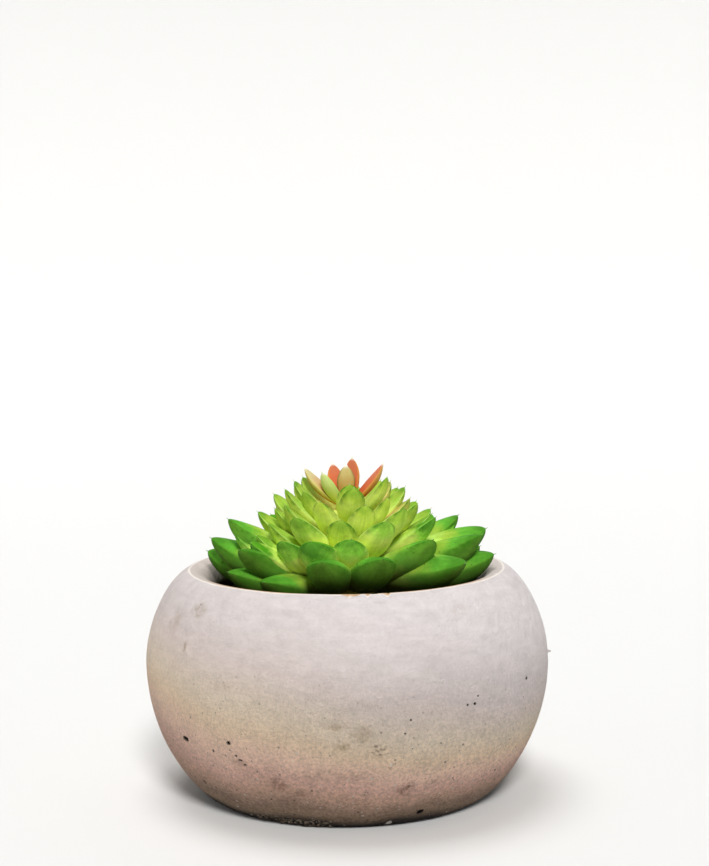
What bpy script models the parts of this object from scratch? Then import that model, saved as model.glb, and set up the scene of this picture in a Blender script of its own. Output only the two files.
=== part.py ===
"""A rosette succulent in a round cast-concrete bowl: pot, soil, leafy stem and coral heart.

Metres, +Z up. The origin is the centre of the pot's underside, and -Y is the front.
"""

import math
import random

import bmesh
import bpy
from mathutils import Vector

MM = 0.001
SHARP_ANGLE = math.radians(40.0)

# Pot: the widest circle, the foot that it stands on and the ridge of its rolled lip.
POT_RADIUS = 60.0 * MM
BELLY_HEIGHT = 38.6 * MM
FOOT_RADIUS = 41.8 * MM
RIM_HEIGHT = 66.3 * MM
RIDGE_RADIUS = 46.6 * MM
LIP_ROLL = 6.6 * MM
WALL = 9.0 * MM
FLOOR = 10.0 * MM
LOWER_BEND = (1.53, 1.04)
UPPER_BEND = (1.3, 1.06)
ROUND_BEND = (1.0, 1.0)
POT_SEGMENTS = 48
LOWER_STEPS = 8
UPPER_STEPS = 6
ROLL_STEPS = 4
HOLLOW_STEPS = 3

# Soil: its level below the rim, and the play between pieces that touch.
SOIL_DROP = 17.0 * MM
SOIL_MOUND = 1.2 * MM
PLAY = 0.3 * MM
SOIL_PLAY = 0.45 * MM

# Corners of a fused solid that lie closer than this become one.
WELD = 0.02 * MM

# Stem: it stands in the soil and swells into the core that the leaves grow from.
STEM_RADIUS = 5.0 * MM
STEM_DEPTH = 22.0 * MM
CORE_RADIUS = 9.0 * MM
CORE_TOP_RADIUS = 3.6 * MM
CORE_LOW = -10.0 * MM
CORE_TOP = 17.0 * MM
CORE_FLARE = 4.0 * MM
CORE_SEGMENTS = 12

# Spiral leaves: one spiral from the outermost leaf inwards. Heights are above the rim.
SPIRAL_LEAVES = 60
DIVERGENCE = math.radians(137.0)
FIRST_AZIMUTH = math.radians(216.4)
CROWDING = math.radians(5.9)
CROWDING_PHASE = math.radians(306.0)
OUTER_REACH = 35.9 * MM
INNER_REACH = 14.1 * MM
REACH_POWER = 0.93
TIP_TOP = 35.2 * MM
TIP_SLOPE = 0.65
LEAN = -1.2 * MM
JITTER_SEED = 11
ROLL_JITTER = math.radians(6.0)

# Places of the spiral that stay bare, and leaves that stand off its rule: by how many
# degrees round the stem, then how many millimetres further out and higher.
BARE = (3, 4, 24)
NUDGES = {
    1: (-2.0, 0.0, 0.6),
    6: (-4.0, 0.0, -2.7),
    7: (0.0, 1.0, -1.9),
    8: (0.0, -4.5, 0.0),
    9: (-1.3, 0.0, -1.0),
    11: (0.0, 0.6, -2.2),
    12: (0.0, -1.9, 1.5),
    14: (-1.9, 0.0, -3.4),
    15: (0.0, -1.9, -1.1),
    16: (0.0, 1.8, -5.8),
    17: (0.0, 0.0, 1.4),
    19: (4.6, 0.0, -4.4),
    20: (0.0, -2.5, -0.8),
    22: (-11.8, 0.0, 1.3),
    25: (-3.2, 0.0, 2.2),
    27: (-4.0, 0.0, -2.7),
    28: (0.0, 0.7, -1.8),
    29: (0.0, -1.5, 0.0),
    30: (-2.8, 0.0, -1.4),
    32: (0.0, 0.6, -1.8),
    33: (0.0, 0.5, 0.5),
    35: (-9.0, 0.0, 0.7),
    36: (0.0, -2.1, -1.7),
    37: (0.0, -2.1, -0.5),
    38: (-3.6, 0.0, 0.3),
    40: (0.0, 0.0, -2.3),
    41: (0.0, -0.8, -0.7),
    43: (1.6, 0.0, 0.0),
    45: (0.0, 0.3, -0.6),
    46: (2.2, 0.0, -0.4),
    48: (-10.5, 0.0, 1.2),
    49: (0.0, 0.6, 0.0),
    51: (13.0, 0.0, 1.5),
    53: (0.0, -2.6, 1.6),
    54: (-4.8, 0.0, 3.0),
    56: (-7.0, 0.0, -1.3),
    57: (0.0, 0.3, -0.8),
    58: (0.0, -2.2, 0.6),
    59: (-8.0, 0.0, 0.0),
}
# Leaves of the spiral that are turned about their own length, in degrees.
ROLLED = {
    6: 24.0,
    11: 24.0,
    19: 22.0,
    22: 8.0,
    25: -10.0,
    27: 14.0,
    28: -8.0,
    32: 24.0,
    33: -10.0,
    35: 20.0,
    40: 22.0,
    45: 22.0,
    46: -12.0,
    48: 24.0,
    49: -20.0,
    53: 22.0,
    54: -12.0,
    58: 10.0,
}

# Lowest leaves: azimuth in degrees from the front, tip reach, tip height, root height, and
# their turn about their own length in degrees.
LOW_LEAVES = (
    (-10.0, 38.5 * MM, 7.5 * MM, -3.0 * MM, 0.0),
    (15.5, 38.5 * MM, 8.0 * MM, -3.0 * MM, 0.0),
    (-38.0, 37.5 * MM, 0.6 * MM, -4.0 * MM, 0.0),
    (43.0, 35.9 * MM, 11.5 * MM, -4.0 * MM, 15.0),
    (-62.0, 38.4 * MM, 1.6 * MM, -5.0 * MM, 0.0),
    (-53.0, 37.9 * MM, 8.8 * MM, -3.0 * MM, -14.0),
    (52.0, 42.5 * MM, 4.8 * MM, 0.0 * MM, 0.0),
    (-75.0, 35.5 * MM, 15.8 * MM, -1.0 * MM, 0.0),
    (-85.0, 40.0 * MM, 9.4 * MM, -5.0 * MM, 6.0),
    (-96.0, 41.8 * MM, 4.3 * MM, -6.0 * MM, 14.0),
    (84.0, 44.0 * MM, 3.8 * MM, -4.0 * MM, 0.0),
    (76.0, 40.8 * MM, 10.4 * MM, -3.5 * MM, 6.0),
    (90.0, 41.7 * MM, 10.8 * MM, -1.0 * MM, -8.0),
    (104.0, 35.0 * MM, 13.7 * MM, -1.0 * MM, 0.0),
    (108.0, 43.0 * MM, 3.4 * MM, -4.5 * MM, 0.0),
    (133.0, 40.0 * MM, 9.0 * MM, -3.0 * MM, 0.0),
    (152.0, 43.0 * MM, 3.0 * MM, -4.5 * MM, 0.0),
    (171.0, 40.0 * MM, 8.0 * MM, -3.0 * MM, 0.0),
    (-171.0, 43.0 * MM, 3.0 * MM, -5.0 * MM, 0.0),
    (-150.0, 40.0 * MM, 8.5 * MM, -2.5 * MM, 0.0),
    (-130.0, 43.5 * MM, 3.5 * MM, -4.5 * MM, 0.0),
    (-113.0, 35.0 * MM, 9.5 * MM, -2.0 * MM, 0.0),
)

# Heart: azimuth in degrees from the front, tip reach, tip height above the rim, width, and
# the turn about their own length in degrees.
HEART_LEAVES = (
    (135.0, 3.0 * MM, 32.0 * MM, 6.0 * MM, 0.0),
    (4.0, 4.0 * MM, 30.4 * MM, 5.3 * MM, 0.0),
    (-145.0, 6.5 * MM, 30.0 * MM, 5.8 * MM, 0.0),
    (-52.0, 8.4 * MM, 28.6 * MM, 5.8 * MM, 0.0),
    (-88.0, 11.9 * MM, 29.4 * MM, 6.2 * MM, 16.0),
    (84.0, 11.2 * MM, 30.6 * MM, 6.2 * MM, -15.0),
    (178.0, 9.0 * MM, 28.5 * MM, 5.8 * MM, 0.0),
)
STUB_RADIUS = 2.8 * MM
STUB_TOP_RADIUS = 2.0 * MM
STUB_HEIGHT = 5.0 * MM
HEART_ROOT_HEIGHT = 1.5 * MM
HEART_ROOT_REACH = 1.1 * MM

# Every leaf: its width, thickness, pitch and curl, and where it roots in the core. A wider
# leaf is thicker for its width.
NARROW_WIDTH = 6.4 * MM
WIDTH_GROWTH = 4.2
THICKNESS_SHARE = 0.215
THICKENING = 17.9
THINNING = 0.35
STEEPEST_PITCH = math.radians(63.0)
PITCH_PER_REACH = math.radians(1.07) / MM
UPTURN = math.radians(7.0)
ROOT_DEPTH = 0.8
ROOT_MARGIN = 1.5 * MM
ROOT_STEPS = 8

# A leaf's outline along its length, its tip's power and roundness, and its cross-section.
STATIONS = (0.0, 0.25, 0.5, 0.72, 0.88, 0.97)
ROOT_SHARE = 0.42
WIDEST_AT = 0.58
GREEN_TIP = (2.8, 0.6)
HEART_TIP = (2.1, 0.68)
SECTION = ((-1.0, 0.0), (-0.55, -0.66), (0.0, -1.0), (0.55, -0.66), (1.0, 0.0), (0.0, 0.6))


def clear_scene():
    for obj in list(bpy.data.objects):
        bpy.data.objects.remove(obj, do_unlink=True)


def material(name, colour, roughness):
    made = bpy.data.materials.new(name)
    made.use_nodes = True
    shader = made.node_tree.nodes["Principled BSDF"]
    shader.inputs["Base Color"].default_value = (*colour, 1.0)
    shader.inputs["Roughness"].default_value = roughness
    shader.inputs["Metallic"].default_value = 0.0
    return made


def solid(name, mesh_builder, finish, collection=None):
    """One object from a bmesh, its faces pointing out."""
    bmesh.ops.recalc_face_normals(mesh_builder, faces=mesh_builder.faces)
    mesh = bpy.data.meshes.new(name)
    mesh_builder.to_mesh(mesh)
    mesh_builder.free()
    mesh.shade_smooth()
    mesh.set_sharp_from_angle(angle=SHARP_ANGLE)
    mesh.materials.append(finish)
    obj = bpy.data.objects.new(name, mesh)
    (collection or bpy.context.scene.collection).objects.link(obj)
    return obj


def loft(rings):
    """A skin over rings of points. A ring of one point is a tip."""
    made = bmesh.new()
    loops = [[made.verts.new(point) for point in ring] for ring in rings]
    for near, far in zip(loops, loops[1:]):
        count = max(len(near), len(far))
        for i in range(count):
            j = (i + 1) % count
            if len(near) == 1:
                made.faces.new((near[0], far[i], far[j]))
            elif len(far) == 1:
                made.faces.new((near[i], near[j], far[0]))
            else:
                made.faces.new((near[i], near[j], far[j], far[i]))
    for loop in (loops[0], loops[-1]):
        if len(loop) > 2:
            made.faces.new(loop)
    return made


def turned(outline, segments):
    """The solid of an outline of (radius, height) points turned about the Z axis."""
    rings = []
    for radius, height in outline:
        if radius == 0.0:
            rings.append([Vector((0.0, 0.0, height))])
            continue
        turn = [2.0 * math.pi * i / segments for i in range(segments)]
        rings.append([Vector((radius * math.cos(a), radius * math.sin(a), height)) for a in turn])
    return loft(rings)


def arc(centre, radius, start, end, steps):
    """Points of an arc from one angle to another, in degrees, both ends in."""
    angles = [math.radians(start + (end - start) * i / steps) for i in range(steps + 1)]
    return [(centre[0] + radius * math.cos(a), centre[1] + radius * math.sin(a)) for a in angles]


def quarter(start, end, bend, steps):
    """A rounded quarter from start to end, (radius, height), that ends upright or level.

    bend holds the powers of the sine and the cosine, and 1 and 1 give an ellipse.
    """
    points = []
    for i in range(steps + 1):
        turn = 0.5 * math.pi * i / steps
        out = math.sin(turn) ** bend[0]
        up = 1.0 - math.cos(turn) ** bend[1]
        points.append((start[0] + (end[0] - start[0]) * out, start[1] + (end[1] - start[1]) * up))
    return points


def pot_outside():
    """The outer face from the foot to the ridge of the lip."""
    belly = (POT_RADIUS, BELLY_HEIGHT)
    lower = quarter((FOOT_RADIUS, 0.0), belly, LOWER_BEND, LOWER_STEPS)
    upper = quarter((RIDGE_RADIUS, RIM_HEIGHT), belly, UPPER_BEND, UPPER_STEPS)
    return lower + upper[-2::-1]


def pot_hollow():
    """The inner face from the mouth below the lip down to the edge of the floor."""
    belly = (POT_RADIUS - WALL, BELLY_HEIGHT)
    mouth = (RIDGE_RADIUS - LIP_ROLL, RIM_HEIGHT - LIP_ROLL)
    floor = (FOOT_RADIUS - WALL, FLOOR)
    shoulder = quarter(mouth, belly, ROUND_BEND, HOLLOW_STEPS)
    return shoulder + quarter(floor, belly, ROUND_BEND, HOLLOW_STEPS)[-2::-1]


def make_pot(finish):
    lip = arc((RIDGE_RADIUS, RIM_HEIGHT - LIP_ROLL), LIP_ROLL, 90.0, 180.0, ROLL_STEPS)[1:-1]
    outline = [(0.0, 0.0)] + pot_outside() + lip + pot_hollow() + [(0.0, FLOOR)]
    return solid("pot", turned(outline, POT_SEGMENTS), finish)


def soil_side(level):
    """The side of the soil from its level down, clear of the hollow's wall by the play."""
    wall = [(radius - SOIL_PLAY, height + PLAY) for radius, height in pot_hollow()]
    below = [point for point in wall if point[1] < level]
    above = [point for point in wall if point[1] >= level][-1]
    share = (level - below[0][1]) / (above[1] - below[0][1])
    edge = below[0][0] + (above[0] - below[0][0]) * share
    return [(edge, level)] + below


def make_soil(finish):
    """Soil that fills the hollow, slightly mounded, with a plain hole for the stem."""
    level = RIM_HEIGHT - SOIL_DROP
    hole = STEM_RADIUS + PLAY
    hole_floor = level - STEM_DEPTH - PLAY
    mound = (hole, level + SOIL_MOUND)
    outline = [(0.0, hole_floor), (hole, hole_floor), mound] + soil_side(level) + [(0.0, FLOOR + PLAY)]
    return solid("soil", turned(outline, POT_SEGMENTS), finish)


def leaf_rings(root, tip, width, roll, tip_form):
    """Rings of a fleshy leaf that curves up from its root to its tip, both points."""
    level = Vector((tip.x - root.x, tip.y - root.y, 0.0))
    outward = level.normalized()
    up = Vector((0.0, 0.0, 1.0))
    side = outward.cross(up)
    chord = (tip - root).length
    first = math.atan2(tip.z - root.z, level.length) - UPTURN
    bend = 0.5 * chord / math.sin(UPTURN)
    thickness = THICKNESS_SHARE + THICKENING * width
    rings = []
    for share in (*STATIONS, 1.0):
        angle = first + 2.0 * UPTURN * share
        along = bend * (math.sin(angle) - math.sin(first))
        rise = bend * (math.cos(first) - math.cos(angle))
        place = root + outward * along + up * rise
        face = up * math.cos(angle) - outward * math.sin(angle)
        across = side * math.cos(roll) + face * math.sin(roll)
        normal = face * math.cos(roll) - side * math.sin(roll)
        half = 0.5 * width * leaf_outline(share, tip_form)
        deep = 2.0 * half * thickness * (1.0 - THINNING * tip_share(share) ** 2)
        if half == 0.0:
            rings.append([place])
        else:
            rings.append([place + across * (half * x) + normal * (deep * z) for x, z in SECTION])
    return rings


def tip_share(share):
    """0 as far as a leaf's widest place, and 1 at its tip."""
    return max(0.0, (share - WIDEST_AT) / (1.0 - WIDEST_AT))


def leaf_outline(share, tip_form):
    """A leaf's width at a share of its length, as a share of its full width."""
    power, roundness = tip_form
    if share < WIDEST_AT:
        return 1.0 - (1.0 - ROOT_SHARE) * (1.0 - share / WIDEST_AT) ** 2
    return (1.0 - tip_share(share) ** power) ** roundness


def core_radius(height):
    """The core's radius at a height above the rim."""
    share = (height - CORE_LOW) / (CORE_TOP - CORE_LOW)
    return CORE_RADIUS + (CORE_TOP_RADIUS - CORE_RADIUS) * min(1.0, max(0.0, share))


def green_leaf(tip, root_height, roll):
    """A leaf from the core to its tip, both heights above the rim. It widens with its reach."""
    reach = math.hypot(tip.x, tip.y)
    share = ROOT_DEPTH * core_radius(root_height) / reach
    root = Vector((tip.x * share, tip.y * share, root_height))
    lift = Vector((0.0, 0.0, RIM_HEIGHT))
    width = NARROW_WIDTH + WIDTH_GROWTH * reach * reach
    return leaf_rings(root + lift, tip + lift, width, roll, GREEN_TIP)


def spiral_root(tip):
    """A spiral leaf's root height. The further out a leaf reaches, the flatter it lies."""
    reach = math.hypot(tip.x, tip.y)
    rise = math.tan(STEEPEST_PITCH - PITCH_PER_REACH * reach)
    height = tip.z - reach * rise
    for _ in range(ROOT_STEPS):
        height = tip.z - (reach - ROOT_DEPTH * core_radius(height)) * rise
    return min(height, CORE_TOP - ROOT_MARGIN)


def spiral_tip(index):
    """The tip of a leaf of the spiral, counted from the outermost."""
    inward = index / (SPIRAL_LEAVES - 1)
    reach = INNER_REACH + (OUTER_REACH - INNER_REACH) * (1.0 - inward) ** REACH_POWER
    azimuth = FIRST_AZIMUTH + DIVERGENCE * index
    azimuth += CROWDING * math.sin(2.0 * azimuth + CROWDING_PHASE)
    height = TIP_TOP - TIP_SLOPE * reach
    turned_by, further, higher = NUDGES.get(index, (0.0, 0.0, 0.0))
    azimuth += math.radians(turned_by)
    reach += further * MM
    height += higher * MM
    return Vector((reach * math.sin(azimuth) + LEAN, -reach * math.cos(azimuth), height))


def polar(azimuth, reach, height):
    """A point from its azimuth in degrees from the front, its reach and its height."""
    turn = math.radians(azimuth)
    return Vector((reach * math.sin(turn), -reach * math.cos(turn), height))


def green_leaves():
    draw = random.Random(JITTER_SEED)
    ends = [(polar(*low[:3]), low[3], low[4]) for low in LOW_LEAVES]
    for index in range(SPIRAL_LEAVES):
        if index not in BARE:
            tip = spiral_tip(index)
            ends.append((tip, spiral_root(tip), ROLLED.get(index, 0.0)))
    leaves = []
    for tip, root_height, turned_by in ends:
        roll = math.radians(turned_by) + draw.uniform(-1.0, 1.0) * ROLL_JITTER
        leaves.append(green_leaf(tip, root_height, roll))
    return leaves


def core_outline():
    """The stem from its foot in the soil, and the core that it swells into."""
    foot = RIM_HEIGHT - SOIL_DROP - STEM_DEPTH
    neck = (STEM_RADIUS, RIM_HEIGHT + CORE_LOW - CORE_FLARE)
    base = (CORE_RADIUS, RIM_HEIGHT + CORE_LOW)
    top = (CORE_TOP_RADIUS, RIM_HEIGHT + CORE_TOP)
    return [(0.0, foot), (STEM_RADIUS, foot), neck, base, top, (0.0, RIM_HEIGHT + CORE_TOP)]


def outer_skin(mesh):
    """Keeps a mesh's largest closed skin, and so fills sealed hollows and drops loose scraps."""
    made = bmesh.new()
    made.from_mesh(mesh)
    bmesh.ops.triangulate(made, faces=made.faces)
    bmesh.ops.remove_doubles(made, verts=made.verts, dist=WELD)
    left = set(made.verts)
    skins = []
    while left:
        skin = {left.pop()}
        edge_of_skin = list(skin)
        while edge_of_skin:
            vert = edge_of_skin.pop()
            found = [edge.other_vert(vert) for edge in vert.link_edges]
            fresh = [other for other in found if other in left]
            left.difference_update(fresh)
            skin.update(fresh)
            edge_of_skin.extend(fresh)
        skins.append(skin)
    largest = max(skins, key=len)
    bmesh.ops.delete(made, geom=[v for skin in skins if skin is not largest for v in skin], context="VERTS")
    made.to_mesh(mesh)
    made.free()


def fused(name, body, leaves, finish):
    """Joins a body and its leaves, each a list of rings, into one solid."""
    made = solid(name, body, finish)
    group = bpy.data.collections.new(name + "_leaves")
    bpy.context.scene.collection.children.link(group)
    for index, rings in enumerate(leaves):
        solid(f"{name}_leaf_{index}", loft(rings), finish, group)
    union = made.modifiers.new("leaves", "BOOLEAN")
    union.operation = "UNION"
    union.operand_type = "COLLECTION"
    union.collection = group
    union.solver = "MANIFOLD"
    bpy.context.view_layer.update()
    joined = bpy.data.meshes.new_from_object(made.evaluated_get(bpy.context.evaluated_depsgraph_get()))
    made.modifiers.clear()
    made.data = joined
    outer_skin(joined)
    for obj in list(group.objects):
        bpy.data.objects.remove(obj, do_unlink=True)
    bpy.data.collections.remove(group)
    return made


def make_rosette(finish):
    return fused("rosette", turned(core_outline(), CORE_SEGMENTS), green_leaves(), finish)


def make_heart(finish):
    low = RIM_HEIGHT + CORE_TOP + PLAY
    high = low + STUB_HEIGHT
    stub = [(0.0, low), (STUB_RADIUS, low), (STUB_TOP_RADIUS, high), (0.0, high)]
    leaves = []
    for azimuth, reach, height, width, turned_by in HEART_LEAVES:
        root = polar(azimuth, HEART_ROOT_REACH, low + HEART_ROOT_HEIGHT)
        tip = polar(azimuth, reach, RIM_HEIGHT + height)
        leaves.append(leaf_rings(root, tip, width, math.radians(turned_by), HEART_TIP))
    return fused("heart", turned(stub, CORE_SEGMENTS), leaves, finish)


def main():
    clear_scene()
    make_pot(material("concrete", (0.62, 0.57, 0.54), 0.9))
    make_soil(material("soil", (0.045, 0.03, 0.02), 0.95))
    make_rosette(material("green_leaf", (0.2, 0.47, 0.06), 0.45))
    make_heart(material("coral_leaf", (0.78, 0.28, 0.14), 0.45))


main()
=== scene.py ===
"""Looks of a potted succulent: a fine bowl, soil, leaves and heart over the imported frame.

Metres, +Z up. -Y is the front. The leaves repeat the placing rule of the frame's leafy stem.
"""

import math
import random

import bmesh
import bpy
from mathutils import Euler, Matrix, Quaternion, Vector, noise


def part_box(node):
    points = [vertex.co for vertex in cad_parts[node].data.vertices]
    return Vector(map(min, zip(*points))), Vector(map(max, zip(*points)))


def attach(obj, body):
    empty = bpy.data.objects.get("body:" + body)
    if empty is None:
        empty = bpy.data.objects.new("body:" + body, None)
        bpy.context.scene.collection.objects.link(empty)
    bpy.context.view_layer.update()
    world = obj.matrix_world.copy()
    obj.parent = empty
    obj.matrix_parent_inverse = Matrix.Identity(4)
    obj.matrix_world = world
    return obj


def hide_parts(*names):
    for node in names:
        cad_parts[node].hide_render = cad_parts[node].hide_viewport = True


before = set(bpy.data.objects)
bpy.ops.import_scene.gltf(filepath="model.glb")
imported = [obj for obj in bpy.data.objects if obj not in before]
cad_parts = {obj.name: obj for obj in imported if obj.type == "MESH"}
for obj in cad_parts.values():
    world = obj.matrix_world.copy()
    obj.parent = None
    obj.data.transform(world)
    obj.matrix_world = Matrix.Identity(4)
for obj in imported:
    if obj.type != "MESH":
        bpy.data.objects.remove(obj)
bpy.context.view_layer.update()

MM = 0.001

# The frame's bowl: these values are the ones that its solid was turned from.
POT_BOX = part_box("pot")
POT_RADIUS = POT_BOX[1].x
RIM_HEIGHT = POT_BOX[1].z
BELLY_HEIGHT = 38.6 * MM
FOOT_RADIUS = 41.8 * MM
RIDGE_RADIUS = 46.6 * MM
LIP_ROLL = 6.6 * MM
WALL = 9.0 * MM
FLOOR = 10.0 * MM
# Powers that bend the lower, the upper and the inner quarters of its outline.
LOWER_BEND = (1.53, 1.04)
UPPER_BEND = (1.3, 1.06)
ROUND_BEND = (1.0, 1.0)
# The play between pieces that touch, the soil's level, and how deep the stem stands in it.
PLAY = 0.3 * MM
SOIL_PLAY = 0.45 * MM
SOIL_LEVEL = RIM_HEIGHT - 17.0 * MM
STEM_DEPTH = 22.0 * MM

# How finely the bowl is turned, how finely its faces are cut round a pit and to how many mm
# outside it, and how far from the axis they lie at least.
BOWL_SEGMENTS = 360
LOWER_STEPS = 58
UPPER_STEPS = 40
ROLL_STEPS = 12
HOLLOW_STEPS = 10
PIT_CUTS = 5
PIT_MARGIN = 0.6
OUTER_LEAST = POT_RADIUS - 16.0 * MM

# Pits: azimuth in degrees from the front, height, half width, half height and depth, in mm.
# A negative depth stands proud.
PITS = (
    (-52.2, 23.8, 1.5, 0.8, 1.2),
    (-34.2, 25.9, 0.7, 0.6, 0.8),
    (-32.4, 22.4, 0.45, 0.3, 0.35),
    (-31.2, 21.2, 0.7, 0.28, 0.3),
    (-30.0, 20.0, 0.45, 0.3, 0.35),
    (-40.6, 22.5, 0.4, 0.4, 0.5),
    (-51.9, 10.3, 0.5, 0.5, 0.5),
    (24.6, 4.4, 1.1, 0.95, 0.9),
    (35.3, 36.3, 0.45, 0.45, 0.5),
    (36.3, 38.3, 0.35, 0.3, 0.4),
    (32.9, 36.3, 0.35, 0.35, 0.4),
    (16.3, 34.2, 0.3, 0.3, 0.3),
    (14.9, 30.5, 0.3, 0.3, 0.3),
    (57.2, 39.3, 0.6, 0.5, 0.6),
    (6.9, 20.9, 0.7, 0.5, -0.6),
    (11.3, 21.3, 0.6, 0.5, -0.6),
    (83.4, 41.3, 0.6, 0.4, -1.0),
)
# A rough patch, and stains: azimuth, height, half width, half height, and depth or strength.
ROUGH = (8.0, 26.0, 3.0, 2.8, 1.0)
STAINS = (
    (-20.7, 15.2, 3.6, 3.4, 1.0),
    (-15.0, 12.5, 4.5, 1.4, 0.6),
    (16.7, 13.2, 3.8, 3.0, 1.0),
    (25.0, 14.2, 3.6, 1.8, 0.9),
    (-4.0, 18.5, 15.0, 3.4, 0.45),
    (-50.2, 60.2, 4.6, 3.0, 0.5),
    (-60.0, 56.0, 4.0, 4.0, 0.45),
    (-50.9, 50.4, 1.0, 1.8, 0.9),
    (-3.3, 33.1, 4.4, 1.8, 0.6),
    (3.5, 31.0, 4.4, 3.6, 0.5),
    (-1.5, 27.5, 2.8, 1.8, 0.75),
    (-32.0, 20.5, 4.0, 1.8, 0.5),
    (36.0, 61.0, 5.0, 2.0, 0.3),
    (-35.0, 42.0, 5.0, 1.6, 0.3),
    # These two, wide and low at the front of the foot, are partly stain and partly painted contact
    # shadow.
    (-14.0, 0.5, 17.0, 4.0, 1.4),
    (0.0, 3.0, 26.0, 2.6, 0.7),
    (120.0, 14.0, 6.0, 2.5, 0.8),
    (165.0, 22.0, 7.0, 3.0, 0.5),
    (-140.0, 12.0, 7.0, 3.0, 0.8),
    (-105.0, 55.0, 5.0, 3.0, 0.4),
)
# Pale chips, and painted highlights: azimuth, height, half width, half height, and how pale. The
# second and third are painted highlights on the bumps that stand proud beside them.
CHIPS_AND_HIGHLIGHTS = (
    (14.5, 1.3, 0.9, 1.0, 1.0),
    (11.6, 21.7, 0.4, 0.25, 0.8),
    (7.3, 21.3, 0.3, 0.2, 0.6),
    (1.2, 30.0, 0.3, 0.3, 0.5),
    (-9.0, 8.0, 0.3, 0.25, 0.6),
    (4.0, 6.5, 0.3, 0.25, 0.6),
    (9.0, 7.5, 0.45, 0.2, 0.5),
)
# Nicks in the lip: between which azimuths, how softly they end, how far down the lip they are
# cut, and how deep and how long they are.
NICKS = (-2.0, 17.0)
NICK_FADE = 1.5
NICK_HEIGHT = 1.5 * MM
NICK_DEPTH = 2.4 * MM
NICK_LENGTH = 1.7 * MM
# Pits drawn for the rest of the bowl, in degrees and mm.
BACK_PITS = 16
BACK_PIT_SEED = 4
BACK_PIT_AZIMUTHS = (68.0, 292.0)
BACK_PIT_HEIGHTS = (6.0, 58.0)
BACK_PIT_SIZES = (0.3, 0.7)
BACK_PIT_FLATNESS = (0.7, 1.0)

# The leafy stem's rule, the same values as in the frame.
CORE_RADIUS = 9.0 * MM
CORE_TOP_RADIUS = 3.6 * MM
CORE_LOW = -10.0 * MM
CORE_TOP = 17.0 * MM
CORE_FLARE = 4.0 * MM
STEM_RADIUS = 5.0 * MM
STEM_SEGMENTS = 36
# One spiral from the outermost leaf inwards, its heights above the rim. A leaf's tier climbs
# from 0 low down to 1.
SPIRAL_LEAVES = 60
LOWEST_TIER = 0.15
STEM_TIER = 0.3
DIVERGENCE = math.radians(137.0)
FIRST_AZIMUTH = math.radians(216.4)
CROWDING = math.radians(5.9)
CROWDING_PHASE = math.radians(306.0)
OUTER_REACH = 35.9 * MM
INNER_REACH = 14.1 * MM
REACH_POWER = 0.93
TIP_TOP = 35.2 * MM
TIP_SLOPE = 0.65
LEAN = -1.2 * MM
JITTER_SEED = 11
ROLL_JITTER = math.radians(6.0)
# Places of the spiral that stay bare, and leaves that stand off its rule: by how many
# degrees round the stem, then how many millimetres further out and higher.
BARE = (3, 4, 24)
NUDGES = {
    1: (-2.0, 0.0, 0.6),
    6: (-4.0, 0.0, -2.7),
    7: (0.0, 1.0, -1.9),
    8: (0.0, -4.5, 0.0),
    9: (-1.3, 0.0, -1.0),
    11: (0.0, 0.6, -2.2),
    12: (0.0, -1.9, 1.5),
    14: (-1.9, 0.0, -3.4),
    15: (0.0, -1.9, -1.1),
    16: (0.0, 1.8, -5.8),
    17: (0.0, 0.0, 1.4),
    19: (4.6, 0.0, -4.4),
    20: (0.0, -2.5, -0.8),
    22: (-11.8, 0.0, 1.3),
    25: (-3.2, 0.0, 2.2),
    27: (-4.0, 0.0, -2.7),
    28: (0.0, 0.7, -1.8),
    29: (0.0, -1.5, 0.0),
    30: (-2.8, 0.0, -1.4),
    32: (0.0, 0.6, -1.8),
    33: (0.0, 0.5, 0.5),
    35: (-9.0, 0.0, 0.7),
    36: (0.0, -2.1, -1.7),
    37: (0.0, -2.1, -0.5),
    38: (-3.6, 0.0, 0.3),
    40: (0.0, 0.0, -2.3),
    41: (0.0, -0.8, -0.7),
    43: (1.6, 0.0, 0.0),
    45: (0.0, 0.3, -0.6),
    46: (2.2, 0.0, -0.4),
    48: (-10.5, 0.0, 1.2),
    49: (0.0, 0.6, 0.0),
    51: (13.0, 0.0, 1.5),
    53: (0.0, -2.6, 1.6),
    54: (-4.8, 0.0, 3.0),
    56: (-7.0, 0.0, -1.3),
    57: (0.0, 0.3, -0.8),
    58: (0.0, -2.2, 0.6),
    59: (-8.0, 0.0, 0.0),
}
# Leaves of the spiral that are turned about their own length, in degrees.
ROLLED = {
    6: 24.0,
    11: 24.0,
    19: 22.0,
    22: 8.0,
    25: -10.0,
    27: 14.0,
    28: -8.0,
    32: 24.0,
    33: -10.0,
    35: 20.0,
    40: 22.0,
    45: 22.0,
    46: -12.0,
    48: 24.0,
    49: -20.0,
    53: 22.0,
    54: -12.0,
    58: 10.0,
}
# Leaves of the spiral with a reddish flush.
FLUSHED = (41, 57)
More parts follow.
